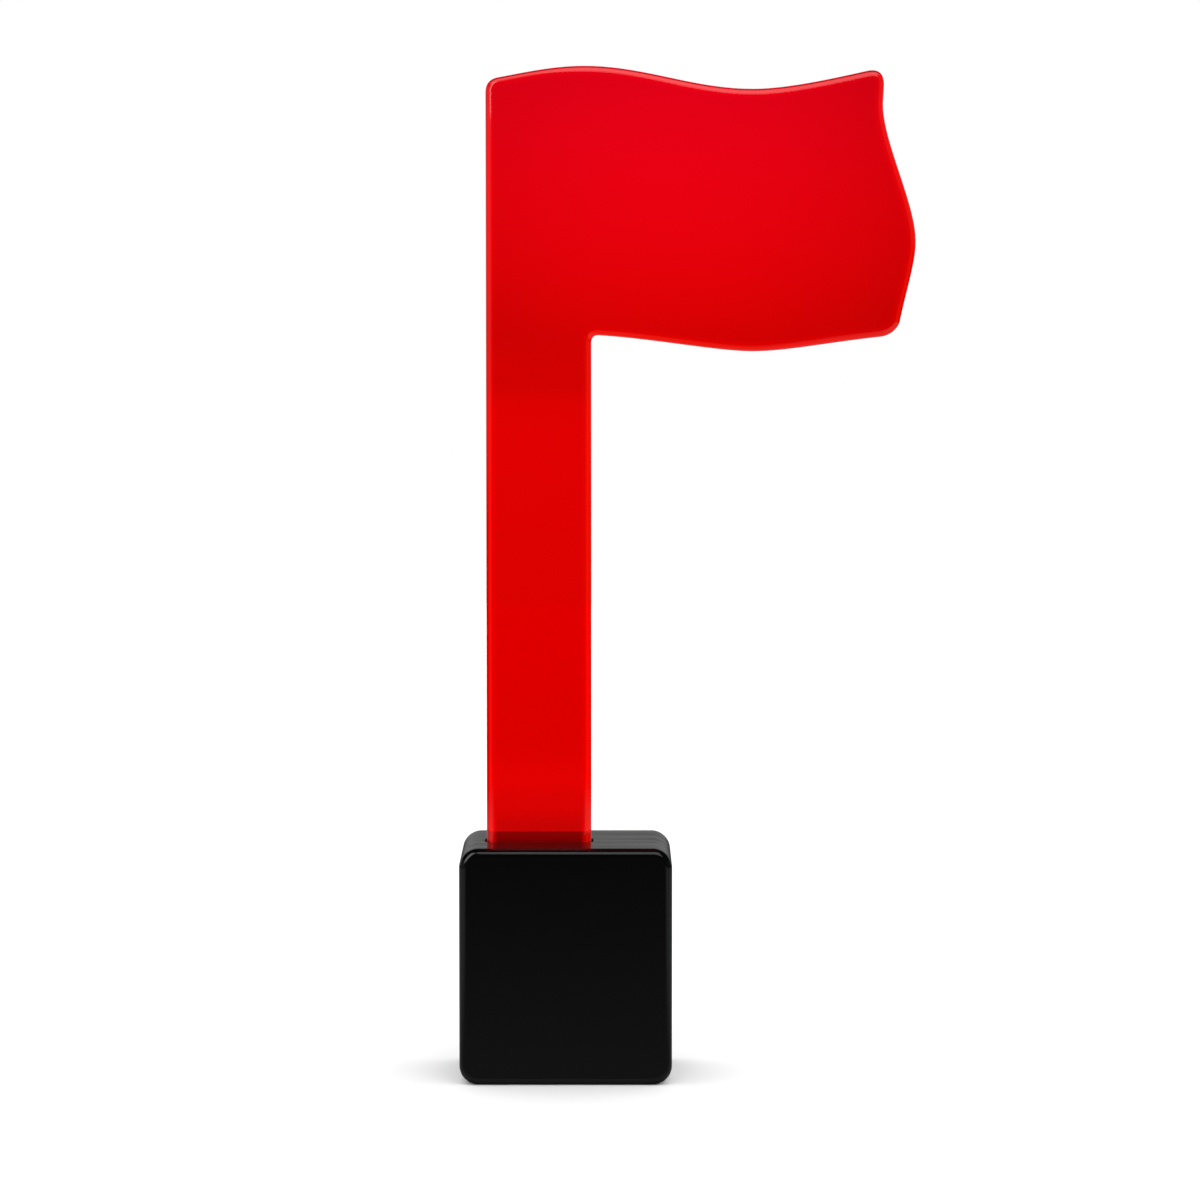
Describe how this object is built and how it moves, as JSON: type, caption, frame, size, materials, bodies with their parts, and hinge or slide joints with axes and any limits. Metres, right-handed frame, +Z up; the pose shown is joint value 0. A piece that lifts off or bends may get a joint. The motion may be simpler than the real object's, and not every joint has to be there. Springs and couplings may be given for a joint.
{
  "type": "flag-shaped status light",
  "caption": "Desk status light: a small edge-lit flag with its pole, cut from one clear sheet, plugged into a slotted black box that holds the lights.",
  "frame": {"origin": "middle of the box's underside, which rests on the desk", "axes": "+Z up along the pole, +X towards the free end of the flag, -Y out of the front cover"},
  "size_m": [0.0472, 0.016, 0.105],
  "materials": {
    "lit_sheet": "clear red acrylic, polished, edge-lit",
    "cover_black": "semi-gloss",
    "case_black": "satin",
    "white_plastic": "satin",
    "soft_grip": "matte",
    "board": "solder mask",
    "chip": "moulded",
    "ceramic": "ceramic",
    "plated_steel": "zinc plated",
    "nickel": "nickel plated"
  },
  "bodies": {
    "base": {"rear_case": "case_black", "front_cover": "cover_black", "cover_screw_1": "plated_steel", "cover_screw_2": "plated_steel", "magnet_1": "nickel", "magnet_2": "nickel", "flag_socket": "white_plastic", "grip_front": "soft_grip", "grip_rear": "soft_grip", "circuit_board": "board", "led_1": "white_plastic", "led_2": "white_plastic", "led_3": "white_plastic", "led_4": "white_plastic", "led_5": "white_plastic", "led_6": "white_plastic", "microcontroller": "chip", "crystal": "plated_steel", "voltage_regulator": "chip", "capacitor_1": "ceramic", "capacitor_2": "ceramic", "capacitor_3": "ceramic", "resistor_1": "chip", "resistor_2": "chip", "usb_shell": "nickel", "usb_tongue": "chip"},
    "sheet": {"flag": "lit_sheet"}
  },
  "joints": [
    {"name": "flag_lift", "type": "slide", "parent": "base", "child": "sheet", "axis": [0, 0, 1], "range_m": [0, 0.0136]}
  ]
}
